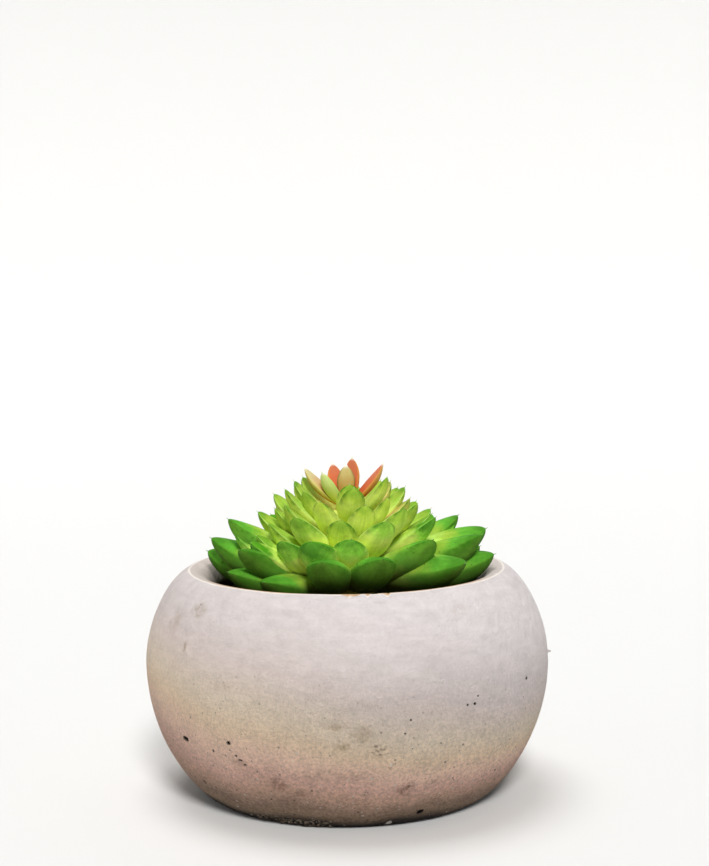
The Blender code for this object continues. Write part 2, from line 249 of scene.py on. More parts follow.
# Lowest leaves: azimuth in degrees from the front, tip reach, tip height and root height in
# mm, and their turn about their own length in degrees.
LOW_LEAVES = (
    (-10.0, 38.5, 7.5, -3.0, 0.0),
    (15.5, 38.5, 8.0, -3.0, 0.0),
    (-38.0, 37.5, 0.6, -4.0, 0.0),
    (43.0, 35.9, 11.5, -4.0, 15.0),
    (-62.0, 38.4, 1.6, -5.0, 0.0),
    (-53.0, 37.9, 8.8, -3.0, -14.0),
    (52.0, 42.5, 4.8, 0.0, 0.0),
    (-75.0, 35.5, 15.8, -1.0, 0.0),
    (-85.0, 40.0, 9.4, -5.0, 6.0),
    (-96.0, 41.8, 4.3, -6.0, 14.0),
    (84.0, 44.0, 3.8, -4.0, 0.0),
    (76.0, 40.8, 10.4, -3.5, 6.0),
    (90.0, 41.7, 10.8, -1.0, -8.0),
    (104.0, 35.0, 13.7, -1.0, 0.0),
    (108.0, 43.0, 3.4, -4.5, 0.0),
    (133.0, 40.0, 9.0, -3.0, 0.0),
    (152.0, 43.0, 3.0, -4.5, 0.0),
    (171.0, 40.0, 8.0, -3.0, 0.0),
    (-171.0, 43.0, 3.0, -5.0, 0.0),
    (-150.0, 40.0, 8.5, -2.5, 0.0),
    (-130.0, 43.5, 3.5, -4.5, 0.0),
    (-113.0, 35.0, 9.5, -2.0, 0.0),
)
# Heart: azimuth in degrees from the front, tip reach, tip height above the rim and width in
# mm, and the turn about their own length in degrees.
HEART_LEAVES = (
    ("coral", 135.0, 3.0, 32.0, 6.0, 0.0),
    ("olive", 4.0, 4.0, 30.4, 5.3, 0.0),
    ("coral", -145.0, 6.5, 30.0, 5.8, 0.0),
    ("cream", -52.0, 8.4, 28.6, 5.8, 0.0),
    ("blush", -88.0, 11.9, 29.4, 6.2, 16.0),
    ("coral", 84.0, 11.2, 30.6, 6.2, -15.0),
    ("coral", 178.0, 9.0, 28.5, 5.8, 0.0),
)
STUB_RADIUS = 2.8 * MM
STUB_TOP_RADIUS = 2.0 * MM
STUB_HEIGHT = 5.0 * MM
STUB_SEGMENTS = 24
HEART_ROOT_HEIGHT = 1.5 * MM
HEART_ROOT_REACH = 1.1 * MM
# Every leaf: its width, thickness, pitch and curl, and where it roots in the core. A wider
# leaf is thicker for its width.
NARROW_WIDTH = 6.4 * MM
WIDTH_GROWTH = 4.2
THICKNESS_SHARE = 0.215
THICKENING = 17.9
THINNING = 0.35
STEEPEST_PITCH = math.radians(63.0)
PITCH_PER_REACH = math.radians(1.07) / MM
UPTURN = math.radians(7.0)
ROOT_DEPTH = 0.8
ROOT_MARGIN = 1.5 * MM
ROOT_STEPS = 8
# A leaf's outline along its length, and its tip's power and roundness.
ROOT_SHARE = 0.42
WIDEST_AT = 0.58
GREEN_TIP = (2.8, 0.6)
HEART_TIP = (2.1, 0.68)

# What the fine leaf adds: its steps, rounding, edge, crown and point, and the twist and
# unevenness drawn for each.
LEAF_STEPS = 26
STEP_POWER = 1.9
POINT_STEPS = 3
LOWER_POINTS = 14
UPPER_POINTS = 12
ROUNDNESS = 2.1
EDGE = 0.52
EDGE_GAIN = 0.1
EDGE_CHANGE = (0.5, 0.95)
KEEN_GAIN = 0.12
CROWN = 0.7
CROWN_LOSS = 0.15
CROWN_CHANGE = (0.45, 0.95)
KEEN_LOSS = 0.36
POINT_LENGTH = 0.9 * MM
POINT_RADIUS = 0.2 * MM
HEART_POINT_RADIUS = 0.55 * MM
POINT_TAPER = 0.7
TWIST = math.radians(5.0)
UNEVENNESS = 0.05


# Meshes


def link_object(name, mesh, finishes):
    """A smooth object that shows a mesh with its materials."""
    mesh.shade_smooth()
    for finish in finishes:
        mesh.materials.append(finish)
    obj = bpy.data.objects.new(name, mesh)
    bpy.context.scene.collection.objects.link(obj)
    return obj


def make_object(name, points, faces, finishes, values=None):
    """One object from points and faces, with a number for each point in each named layer."""
    mesh = bpy.data.meshes.new(name)
    mesh.from_pydata(points, [], faces)
    for key, numbers in (values or {}).items():
        mesh.attributes.new(key, "FLOAT", "POINT").data.foreach_set("value", numbers)
    shape = bmesh.new()
    shape.from_mesh(mesh)
    bmesh.ops.recalc_face_normals(shape, faces=shape.faces)
    shape.to_mesh(mesh)
    shape.free()
    return link_object(name, mesh, finishes)


def place(obj, node):
    """The piece rides on the frame and stands for a node, which it hides."""
    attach(obj, "root")
    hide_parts(node)


def loft(rings):
    """Points and faces of a closed skin over rings. A ring of one point is a tip."""
    points = [point for ring in rings for point in ring]
    starts = [0]
    for ring in rings:
        starts.append(starts[-1] + len(ring))
    faces = []
    for index, (near, far) in enumerate(zip(rings, rings[1:])):
        a, b = starts[index], starts[index + 1]
        count = max(len(near), len(far))
        for i in range(count):
            j = (i + 1) % count
            if len(near) == 1:
                faces.append((a, b + i, b + j))
            elif len(far) == 1:
                faces.append((a + i, a + j, b))
            else:
                faces.append((a + i, a + j, b + j, b + i))
    for index in (0, len(rings) - 1):
        if len(rings[index]) > 2:
            faces.append(tuple(range(starts[index], starts[index + 1])))
    return points, faces


def turned(outline, segments):
    """Rings of an outline of (radius, height) points turned about the Z axis."""
    turns = [2.0 * math.pi * i / segments for i in range(segments)]
    rings = []
    for radius, height in outline:
        if radius == 0.0:
            rings.append([Vector((0.0, 0.0, height))])
        else:
            rings.append([Vector((radius * math.cos(a), radius * math.sin(a), height)) for a in turns])
    return rings


def smooth(low, high, value):
    """0 below low, 1 above high, and a smooth climb between them."""
    share = min(1.0, max(0.0, (value - low) / (high - low)))
    return share * share * (3.0 - 2.0 * share)


# Node helpers, which find their tree by a socket that they are given


def add(tree, kind, values=None, **settings):
    """A node with its settings. Each value is set on its input, or linked if it is a socket."""
    made = tree.nodes.new("ShaderNode" + kind)
    for name, setting in settings.items():
        setattr(made, name, setting)
    for key, value in (values or {}).items():
        if isinstance(value, bpy.types.NodeSocket):
            tree.links.new(value, made.inputs[key])
        else:
            made.inputs[key].default_value = value
    return made


def ramp(factor, stops):
    """A colour from a factor, by stops of (place, colour)."""
    made = add(factor.id_data, "ValToRGB", {"Fac": factor})
    band = made.color_ramp
    while len(band.elements) < len(stops):
        band.elements.new(0.5)
    for element, (place_on, colour) in zip(band.elements, stops):
        element.position = place_on
        element.color = (*colour, 1.0)
    return made.outputs["Color"]


def grey(factor, low, high, bottom=0.0, top=1.0):
    """A number that climbs from bottom at low to top at high."""
    limits = {"From Min": low, "From Max": high, "To Min": bottom, "To Max": top}
    return add(factor.id_data, "MapRange", {"Value": factor, **limits}).outputs["Result"]


def mix(factor, first, second, blend="MIX"):
    """Two colours mixed by a factor. At least one of the three is a socket."""
    values = {0: factor, 6: first, 7: second}
    for key, value in values.items():
        if isinstance(value, bpy.types.NodeSocket):
            tree = value.id_data
        elif key:
            values[key] = (*value, 1.0)
    return add(tree, "Mix", values, data_type="RGBA", blend_type=blend).outputs[2]


def shaded(colour, shade):
    """A colour multiplied by a number or by another colour."""
    return mix(1.0, colour, shade, "MULTIPLY")


def sums(operation, first, second=0.0):
    """One step of arithmetic, on a socket and a socket or number."""
    return add(first.id_data, "Math", {0: first, 1: second}, operation=operation).outputs[0]


def plus(first, second):
    return sums("ADD", first, second)


def times(first, second):
    return sums("MULTIPLY", first, second)


def axes(vector):
    """The X, Y and Z of a vector."""
    return add(vector.id_data, "SeparateXYZ", {0: vector}).outputs


def scaled(vector, factors):
    """A vector multiplied by a factor along each axis."""
    values = {0: vector, 1: factors}
    return add(vector.id_data, "VectorMath", values, operation="MULTIPLY").outputs[0]


def speckle(where, scale, detail=3.0, rough=0.55, warp=0.0):
    """Noise between 0 and 1 at a scale in metres."""
    values = {"Vector": where, "Scale": 1.0 / scale, "Detail": detail}
    values.update({"Roughness": rough, "Distortion": warp})
    return add(where.id_data, "TexNoise", values).outputs["Fac"]


def ripple(pattern, bottom, top):
    """Noise spread over a range from bottom to top."""
    return grey(pattern, 0.3, 0.7, bottom, top)


def cells(where, spacing):
    """Cells of a spacing: how far off their middle is, and two random numbers for each."""
    made = add(where.id_data, "TexVoronoi", {"Vector": where, "Scale": 1.0 / spacing})
    drawn = add(where.id_data, "SeparateColor", {0: made.outputs["Color"]}).outputs
    return made.outputs["Distance"], drawn[0], drawn[1]


def layer(where, name):
    """A number that the mesh carries on its points."""
    return add(where.id_data, "Attribute", attribute_name=name).outputs["Fac"]


def new_material(name, values):
    """A material with values set on its shader, the shader and the piece's coordinates."""
    made = bpy.data.materials.new(name)
    made.use_nodes = True
    shader = made.node_tree.nodes["Principled BSDF"]
    for key, value in values.items():
        shader.inputs[key].default_value = value
    return made, shader, add(made.node_tree, "TexCoord").outputs["Object"]


def finish_with(shader, colour, relief, depth):
    """The shader's colour, and its relief, which is a depth high where it is 1."""
    tree = shader.id_data
    made = add(tree, "Bump", {"Height": relief, "Distance": depth})
    tree.links.new(colour, shader.inputs["Base Color"])
    tree.links.new(made.outputs["Normal"], shader.inputs["Normal"])


# Concrete

# Colours up the bowl, by share of the rim's height. They darken towards the foot, partly the
# concrete's own band and partly painted shade; the two lowest stops are painted contact shadow.
CONCRETE_STOPS = (
    (0.0, (0.012, 0.009, 0.007)),
    (0.02, (0.04, 0.028, 0.021)),
    (0.06, (0.338, 0.235, 0.159)),
    (0.1, (0.358, 0.241, 0.176)),
    (0.16, (0.605, 0.389, 0.288)),
    (0.22, (0.714, 0.46, 0.371)),
    (0.3, (0.816, 0.572, 0.445)),
    (0.38, (0.786, 0.603, 0.437)),
    (0.46, (0.742, 0.619, 0.483)),
    (0.54, (0.689, 0.584, 0.498)),
    (0.66, (0.657, 0.567, 0.54)),
    (0.78, (0.662, 0.597, 0.58)),
    (1.0, (0.734, 0.68, 0.678)),
)
# Colours of the grains where the foot has crumbled. The near-black ones are painted shadow between
# the grains.
GRAIN_STOPS = (
    (0.0, (0.012, 0.008, 0.005)),
    (0.45, (0.05, 0.035, 0.024)),
    (0.7, (0.22, 0.16, 0.11)),
    (1.0, (0.6, 0.5, 0.38)),
)
# How far the bands lean, and above which heights they begin to and do so fully.
BAND_LEAN = 3.4
LEAN_HEIGHTS = (5.0 * MM, 35.0 * MM)
# Mottling: whether it lies in level streaks, and its size, detail and strength.
MOTTLING = (
    (True, 9.0 * MM, 6.0, 0.045),
    (False, 15.0 * MM, 3.0, 0.02),
    (False, 4.0 * MM, 6.0, 0.045),
)
# Specks in the sand: which of the cells have one, how strongly it shows, and its colour. The pale
# ones are partly painted highlights on the sand's relief.
SPECKS = (
    ((0.84, 1.0, 0.0, 0.8), (0.80, 0.70, 0.62)),
    ((0.18, 0.0, 0.0, 0.7), (0.12, 0.085, 0.06)),
)
STAIN_STOPS = ((0.25, (0.42, 0.36, 0.33)), (0.45, (0.50, 0.42, 0.26)))
CHIP_AND_HIGHLIGHT_COLOUR = (0.88, 0.82, 0.74)
WARM_COLOUR = (0.60, 0.36, 0.16)
INSIDE_SHADE_COLOUR = (0.10, 0.09, 0.07)
UNDERSIDE_COLOUR = (0.50, 0.42, 0.37)
RIDGE_HIGHLIGHT_COLOUR = (0.93, 0.86, 0.76)
# Painted shade in pits, pinholes and the rough patch's hollows.
PIT_SHADE_COLOUR = (0.012, 0.008, 0.006)


def banded(where, up):
    """Bands that lean down to the right and waver, with mottling: their level and colour."""
    lean = times(axes(where)["X"], grey(up, *LEAN_HEIGHTS, 0.0, BAND_LEAN))
    waver = ripple(speckle(where, 26 * MM, 2.0), -0.025, 0.025)
    level = plus(plus(times(up, 1.0 / RIM_HEIGHT), lean), waver)
    colour = ramp(level, CONCRETE_STOPS)
    flat = scaled(where, (1.0, 1.0, 5.0))
    for streaky, size, detail, strength in MOTTLING:
        pattern = speckle(flat if streaky else where, size, detail, 0.6, 0.5)
        colour = shaded(colour, grey(pattern, 0.34, 0.66, 1.0 - strength, 1.0 + strength))
    return level, colour


def sanded(where, up, colour):
    """The colour with sand and specks, more of both low on the bowl, and the sand itself."""
    sandy = grey(up, 50 * MM, 12 * MM, 0.12, 1.45)
    sand = ripple(speckle(where, 0.9 * MM, 4.0, 0.85), -0.3, 0.3)
    sand = plus(times(sand, sandy), 1.0)
    colour = shaded(colour, sand)
    # The sand's relief shades the surface, so the colour itself is lighter low on the bowl.
    colour = shaded(colour, grey(up, 50 * MM, 34 * MM, 0.83, 1.02))
    colour = shaded(colour, grey(up, 34 * MM, 14 * MM, 1.0, 1.15))
    distance, choice, size = cells(where, 1.25 * MM)
    speck = times(sums("LESS_THAN", distance, grey(size, 0.0, 1.0, 0.12, 0.32)), sandy)
    for chosen, speck_colour in SPECKS:
        colour = mix(times(speck, grey(choice, *chosen)), colour, speck_colour)
    return colour, sand


def stained(where, up, level, colour):
    """Brown stains, those that the front shows and those that gather low, some partly painted
    contact shadow at the foot, and pale chips and painted highlights.
    """
    broken = grey(speckle(where, 2.2 * MM, 6.0, 0.7, 0.6), 0.36, 0.62)
    patchy = grey(speckle(where, 8 * MM, 6.0, 0.7, 0.8), 0.5, 0.66)
    low = times(grey(up, 22 * MM, 6 * MM, 0.0, 0.3), patchy)
    stain = sums("MAXIMUM", times(layer(where, "stain"), broken), low)
    colour = mix(stain, colour, ramp(level, STAIN_STOPS), "MULTIPLY")
    # Pale chips, and painted highlights on the bumps that stand proud.
    return mix(layer(where, "chip_and_highlight"), colour, CHIP_AND_HIGHLIGHT_COLOUR)


def inside_underside_and_ridge(where, up, sand, colour):
    """The inside tinted warm towards the front and darker further down as painted shade, the
    foot's plain underside, and a painted highlight along the lip's ridge.
    """
    flat = scaled(where, (1.0, 1.0, 0.0))
    reach = add(where.id_data, "VectorMath", {0: flat}, operation="LENGTH").outputs["Value"]
    inner = grey(reach, RIDGE_RADIUS + 0.4 * MM, RIDGE_RADIUS - 0.6 * MM)
    inner = times(inner, grey(up, FLOOR, FLOOR + 1 * MM))
    warm = times(inner, grey(axes(where)["Y"], -18 * MM, -36 * MM, 0.12, 0.85))
    colour = mix(warm, colour, WARM_COLOUR)
    # Painted shade on the inside, darker further down below the rim.
    inside_shade = times(inner, grey(up, RIM_HEIGHT - 1 * MM, RIM_HEIGHT - 9 * MM, 0.0, 0.85))
    colour = mix(inside_shade, colour, INSIDE_SHADE_COLOUR)
    below = grey(reach, FOOT_RADIUS - 1 * MM, FOOT_RADIUS - 3 * MM)
    below = times(grey(up, 0.6 * MM, 0.2 * MM), below)
    colour = mix(below, colour, shaded(UNDERSIDE_COLOUR, sand))
    # A painted highlight along the lip's ridge.
    aside = sums("ABSOLUTE", sums("SUBTRACT", reach, RIDGE_RADIUS + 0.25 * MM))
    high = grey(up, RIM_HEIGHT - 3 * MM, RIM_HEIGHT - 1 * MM, 0.0, 0.6)
    return mix(times(grey(aside, 0.5 * MM, 0.1 * MM), high), colour, RIDGE_HIGHLIGHT_COLOUR)


def concrete():
    """Cast concrete: bands, sand, stains, painted shade inside and a painted highlight on the lip's
    ridge, then crumbled grains and pinholes, with painted shade in pits and pinholes.
    """
    made, shader, where = new_material("concrete_fine", {"Roughness": 0.88, "Specular IOR Level": 0.25})
    up = axes(where)["Z"]
    level, colour = banded(where, up)
    colour, sand = sanded(where, up, colour)
    colour = inside_underside_and_ridge(where, up, sand, stained(where, up, level, colour))
    _, shade, _ = cells(where, 0.75 * MM)
    colour = mix(layer(where, "crumb"), colour, ramp(shade, GRAIN_STOPS))
    # Pinholes: sunk into the relief, and darkened with painted shade like the pits.
    distance, choice, _ = cells(where, 4.5 * MM)
    holes = times(grey(distance, 0.045, 0.03), grey(choice, 0.6, 0.62))
    colour = mix(sums("MAXIMUM", holes, layer(where, "pit")), colour, PIT_SHADE_COLOUR)
    relief = plus(times(speckle(where, 4 * MM), 1.2), times(sand, 2.2))
    relief = sums("SUBTRACT", relief, times(holes, 3.0))
    finish_with(shader, colour, relief, 0.6 * MM)
    return made


# Potting soil

SOIL_STOPS = ((0.3, (0.012, 0.008, 0.006)), (0.55, (0.04, 0.026, 0.016)), (0.8, (0.09, 0.06, 0.035)))
PALE_GRAIN_COLOUR = (0.22, 0.17, 0.12)


def soil():
    """Dark potting soil: near-black with brown patches and a few pale grains."""
    made, shader, where = new_material("soil_fine", {"Roughness": 0.95})
    colour = ramp(speckle(where, 2.5 * MM, 5.0, 0.7), SOIL_STOPS)
    _, choice, _ = cells(where, 1.1 * MM)
    colour = mix(grey(choice, 0.93, 0.95), colour, PALE_GRAIN_COLOUR)
    finish_with(shader, colour, speckle(where, 0.8 * MM, 6.0, 0.75), 0.4 * MM)
    return made


# Green leaf

# Every leaf is waxy, and a little light passes through it.
LEAF_LOOK = {
    "Subsurface Weight": 0.12,
    "Subsurface Radius": (0.5, 1.0, 0.15),
    "Subsurface Scale": 1.0 * MM,
    "Specular IOR Level": 0.01,
    "Specular Tint": (0.45, 0.75, 0.25, 1.0),
}
# Colours along a leaf from its root to its tip: under and upper faces of three tiers. The lowest
# tier's darker colours are partly painted shade, the upper faces' paler ones partly painted light
# from above, and the brightest roots partly painted light against the shade among the leaves.
UNDER_STOPS = (
    (
        (0.45, (0.7, 0.93, 0.15)),
        (0.68, (0.202, 0.521, 0.061)),
        (0.86, (0.147, 0.378, 0.035)),
        (0.98, (0.073, 0.189, 0.018)),
    ),
    (
        (0.4, (0.84, 0.93, 0.22)),
        (0.72, (0.84, 0.93, 0.22)),
        (0.86, (0.328, 0.721, 0.078)),
        (0.97, (0.09, 0.287, 0.027)),
    ),
    (
        (0.35, (0.86, 0.93, 0.3)),
        (0.7, (0.86, 0.93, 0.22)),
        (0.88, (0.462, 0.593, 0.071)),
        (0.98, (0.26, 0.429, 0.043)),
    ),
)
UPPER_STOPS = (
    (
        (0.45, (0.6, 0.86, 0.2)),
        (0.7, (0.289, 0.438, 0.048)),
        (0.84, (0.108, 0.356, 0.032)),
        (0.98, (0.057, 0.209, 0.016)),
    ),
    (
        (0.45, (0.78, 0.9, 0.42)),
        (0.7, (0.71, 0.93, 0.157)),
        (0.86, (0.062, 0.264, 0.01)),
        (0.98, (0.093, 0.31, 0.013)),
    ),
    (
        (0.4, (0.78, 0.9, 0.2)),
        (0.75, (0.33, 0.539, 0.065)),
        (0.92, (0.318, 0.475, 0.055)),
        (1.0, (0.141, 0.335, 0.025)),
    ),
)
TIER_STEPS = ((0.02, 0.17), (0.30, 0.60))
FLUSH_COLOUR = (0.72, 0.42, 0.17)
SHADE_COLOUR = (0.045, 0.085, 0.014)
SHADE_HEIGHTS = (RIM_HEIGHT + 12.0 * MM, RIM_HEIGHT - 4.0 * MM)
MARGIN_COLOUR = (0.04, 0.17, 0.01)
THIN_COLOUR = (0.66, 0.92, 0.30)
DIRT_COLOUR = (0.05, 0.08, 0.01)
POINT_COLOUR = (0.62, 0.72, 0.36)
# Streaks a leaf has across it and along it, and how far leaves differ in them.
STREAK_SPREAD = (5.0, 0.7, 9.0)


def finish_leaf(shader, where, colour):
    """A leaf is slightly wavy, with a fine grain."""
    relief = plus(speckle(where, 2.6 * MM, 2.0), times(speckle(where, 0.35 * MM), 0.15))
    finish_with(shader, colour, relief, 0.12 * MM)


def tiers(place_on, tier, stops):
    """The colour of a place along a leaf, mixed between the ramps of its tiers."""
    colour = ramp(place_on, stops[0])
    for step, more in zip(TIER_STEPS, stops[1:]):
        colour = mix(grey(tier, *step), colour, ramp(place_on, more))
    return colour


def leaf_shade(where, tier, upper, colour):
    """The lower leaves, darker towards the rim, and brighter where they face up than down."""
    low = grey(axes(where)["Z"], *SHADE_HEIGHTS)
    shade = times(times(low, grey(upper, 0.0, 1.0, 0.8, 0.1)), grey(tier, *TIER_STEPS[0], 1.0, 0.2))
    colour = mix(shade, colour, SHADE_COLOUR)
    facing = axes(add(where.id_data, "TexCoord").outputs["Normal"])["Z"]
    faced = shaded(colour, grey(facing, -0.8, 0.0, 0.82, 1.14))
    return mix(grey(tier, *TIER_STEPS[0], 1.0, 0.3), colour, faced)


def leaf_margins(where, shift, across, tier, upper, colour):
    """Dark margins beside the tip, and light that shines through the upper faces' thin ones."""
    margin = times(grey(across, 0.72, 0.98), grey(shift, 0.62, 0.92, 0.0, 0.9))
    margin = times(margin, grey(speckle(where, 1.8 * MM, 4.0, 0.7), 0.38, 0.55, 0.25, 1.0))
    colour = mix(times(margin, grey(upper, 0.3, 0.6, 1.0, 0.0)), colour, MARGIN_COLOUR)
    thin = times(grey(across, 0.86, 1.0), grey(upper, 0.5, 0.8, 0.0, 0.5))
    return mix(times(thin, grey(tier, 0.15, 0.45)), colour, THIN_COLOUR)


def leaf_texture(where, along, across, tier, vary, colour):
    """Fine mottling, faint streaks along the leaf, and specks of dirt, mostly on low leaves."""
    colour = shaded(colour, ripple(speckle(where, 0.9 * MM, 5.0, 0.75), 0.90, 1.09))
    run = {"X": across, "Y": along, "Z": vary}
    run = scaled(add(where.id_data, "CombineXYZ", run).outputs[0], STREAK_SPREAD)
    colour = shaded(colour, ripple(speckle(run, 1.0), 0.88, 1.12))
    distance, size, _ = cells(where, 1.6 * MM)
    dirt = sums("LESS_THAN", distance, grey(size, 0.5, 1.0, 0.0, 0.2))
    return mix(times(dirt, grey(tier, 0.5, 0.0, 0.1, 0.5)), colour, DIRT_COLOUR)


def green_leaf():
    """Lime at the root, greener to the tip; the lower tiers darker, the upper faces paler."""
    made, shader, where = new_material("green_leaf_fine", {"Roughness": 0.5, **LEAF_LOOK})
    names = ("along", "across", "upper", "tier", "vary")
    along, across, upper, tier, vary = [layer(where, name) for name in names]
    waver = plus(ripple(speckle(where, 3.5 * MM), -0.05, 0.05), times(vary, 0.05))
    shift = plus(along, waver)
    colour = mix(upper, tiers(shift, tier, UNDER_STOPS), tiers(shift, tier, UPPER_STOPS))
    flush = times(layer(where, "flush"), grey(shift, 0.98, 0.6, 0.25, 0.8))
    colour = mix(flush, colour, FLUSH_COLOUR)
    colour = leaf_shade(where, tier, upper, colour)
    colour = leaf_margins(where, shift, across, tier, upper, colour)
    colour = leaf_texture(where, along, across, tier, vary, colour)
    point = times(grey(along, 1.0, 1.25), grey(tier, 0.0, 0.9, 0.2, 0.6))
    finish_leaf(shader, where, mix(point, colour, POINT_COLOUR))
    return made


# Heart leaf

# Colours of the upper face, of both faces at the root, of the lower face at the tip, and of
# the margin.
HEART_COLOURS = {
    "coral": ((0.64, 0.20, 0.095), (0.62, 0.11, 0.035), (0.56, 0.36, 0.12), (0.66, 0.30, 0.07)),
    "olive": ((0.60, 0.44, 0.17), (0.64, 0.28, 0.08), (0.58, 0.47, 0.18), (0.26, 0.20, 0.06)),
    "cream": ((0.64, 0.70, 0.26), (0.66, 0.68, 0.20), (0.64, 0.72, 0.25), (0.50, 0.66, 0.20)),
    "blush": ((0.66, 0.58, 0.28), (0.54, 0.20, 0.045), (0.60, 0.40, 0.14), (0.62, 0.56, 0.16)),
}
HEART_POINT_COLOUR = (0.95, 0.93, 0.84)


def heart_leaf(name, upper_colour, root_colour, tip_colour, edge_colour):
    """Colours that run from root to tip and waver a little, and a margin of its own colour."""
    made, shader, where = new_material("heart_" + name, {"Roughness": 0.36, **LEAF_LOOK})
    along = layer(where, "along")
    shift = plus(along, ripple(speckle(where, 2 * MM), -0.06, 0.06))
    under = mix(grey(shift, 0.35, 0.9), root_colour, tip_colour)
    above = mix(grey(shift, 0.3, 0.85), root_colour, upper_colour)
    colour = mix(layer(where, "upper"), under, above)
    edge = plus(layer(where, "across"), ripple(speckle(where, 1.5 * MM), -0.06, 0.06))
    colour = mix(grey(edge, 0.78, 0.94, 0.0, 0.75), colour, edge_colour)
    finish_leaf(shader, where, mix(grey(along, 0.95, 1.04), colour, HEART_POINT_COLOUR))
    return made


# Shape of the bowl


def quarter(start, end, bend, steps):
    """A rounded quarter from start to end, (radius, height), that ends upright or level."""
    points = []
    for i in range(steps + 1):
        turn = 0.5 * math.pi * i / steps
        out = math.sin(turn) ** bend[0]
        up = 1.0 - math.cos(turn) ** bend[1]
        points.append((start[0] + (end[0] - start[0]) * out, start[1] + (end[1] - start[1]) * up))
    return points


def hollow():
    """The inner face from the mouth below the lip down to the edge of the floor."""
    belly = (POT_RADIUS - WALL, BELLY_HEIGHT)
    mouth = (RIDGE_RADIUS - LIP_ROLL, RIM_HEIGHT - LIP_ROLL)
    lower = quarter((FOOT_RADIUS - WALL, FLOOR), belly, ROUND_BEND, HOLLOW_STEPS)
    return quarter(mouth, belly, ROUND_BEND, HOLLOW_STEPS) + lower[-2::-1]


def bowl_outline():
    """The outline from the underside's middle, over the lip, to the floor's middle."""
    belly = (POT_RADIUS, BELLY_HEIGHT)
    lower = quarter((FOOT_RADIUS, 0.0), belly, LOWER_BEND, LOWER_STEPS)
    upper = quarter((RIDGE_RADIUS, RIM_HEIGHT), belly, UPPER_BEND, UPPER_STEPS)
    centre = (RIDGE_RADIUS, RIM_HEIGHT - LIP_ROLL)
    lip = []
    for i in range(1, ROLL_STEPS):
        angle = 0.5 * math.pi * (1.0 + i / ROLL_STEPS)
        lip.append((centre[0] + LIP_ROLL * math.cos(angle), centre[1] + LIP_ROLL * math.sin(angle)))
    return [(0.0, 0.0)] + lower + upper[-2::-1] + lip + hollow() + [(0.0, FLOOR)]


def all_pits():
    """The pits that the front shows, and seeded ones like them round the rest."""
    draw = random.Random(BACK_PIT_SEED)
    pits = list(PITS)
    for _ in range(BACK_PITS):
        size = draw.uniform(*BACK_PIT_SIZES)
        place_on = (draw.uniform(*BACK_PIT_AZIMUTHS), draw.uniform(*BACK_PIT_HEIGHTS))
        pits.append((*place_on, size, size * draw.uniform(*BACK_PIT_FLATNESS), size))
    return pits


def azimuth_of(point):
    """A point's azimuth in degrees from the front."""
    return math.degrees(math.atan2(point.x, -point.y))


def waves(point, *sizes):
    """Noise at a point, the sum of waves of (height, size in mm)."""
    return sum(height * noise.noise(point / (size * MM)) for height, size in sizes)


def pit_share(point, pit, margin=0.0):
    """How far a point lies from a pit's middle: 1 on its edge, or a margin in mm outside it."""
    turn = math.atan2(point.x, -point.y) - math.radians(pit[0])
    turn = (turn + math.pi) % (2.0 * math.pi) - math.pi
    sideways = turn * math.hypot(point.x, point.y)
    upwards = point.z - pit[1] * MM
    return math.hypot(sideways / ((pit[2] + margin) * MM), upwards / ((pit[3] + margin) * MM))


def foot_wear(point):
    """How far the foot's edge has crumbled at a point: most at the front left."""
    turn = azimuth_of(point)
    front = smooth(-42.0, -30.0, turn) * (1.0 - smooth(-12.0, -2.0, turn))
    patch = 0.35 + 0.65 * smooth(-0.1, 0.35, waves(Vector((point.x, point.y, 0.0)), (1.0, 11.0)))
    low = 1.0 - smooth(1.0 * MM, 5.2 * MM, point.z)
    return low * max(front, 0.45 * patch)


def dent(point, pits):
    """How far a point of the outer face moves out, how dark painted shade makes it in pits and
    hollows, and how crumbled it is.
    """
    move = waves(point, (0.16 * MM, 16.0), (0.05 * MM, 4.0))
    dark = 0.0
    for pit in pits:
        share = pit_share(point, pit)
        if share < 1.3:
            # Its edge is ragged.
            share *= 1.0 + waves(point, (0.18, 0.5))
            move -= (1.0 - smooth(0.45, 1.1, share)) * pit[4] * MM
            if pit[4] > 0.0:
                dark = max(dark, 1.0 - smooth(0.8, 1.1, share))
    share = pit_share(point, ROUGH)
    if share < 1.0:
        lump = waves(point, (1.0, 0.85)) * (1.0 - share * share)
        move += ROUGH[4] * MM * lump
        # Painted shade in the rough patch's hollows.
        dark = max(dark, 0.4 * smooth(0.15, 0.4, -lump))
    wear = foot_wear(point)
    if wear > 0.0:
        move += wear * MM * (waves(point, (0.7, 1.3), (0.45, 0.6)) - 0.15)
    # Grains show where it has crumbled most.
    grains = smooth(0.35, 0.8, wear + waves(point, (0.35, 1.6)))
    return move, dark, grains * smooth(0.05, 0.3, wear)


def painted(point, patches, core):
    """How strongly the strongest patch of a list shows at a point. Each fades outside its core."""
    return max((1.0 - smooth(core, 1.0, pit_share(point, entry))) * entry[4] for entry in patches)


def nick(point):
    """How far a point of the lip's crest has chipped down."""
    if point.z < RIM_HEIGHT - NICK_HEIGHT:
        return 0.0
    turn = azimuth_of(point)
    start, end = NICKS
    inside = smooth(start, start + NICK_FADE, turn) * (1.0 - smooth(end - NICK_FADE, end, turn))
    rough = noise.noise(Vector((point.x, point.y, 0.0)) / NICK_LENGTH)
    return NICK_DEPTH * inside * max(0.0, rough - 0.05)


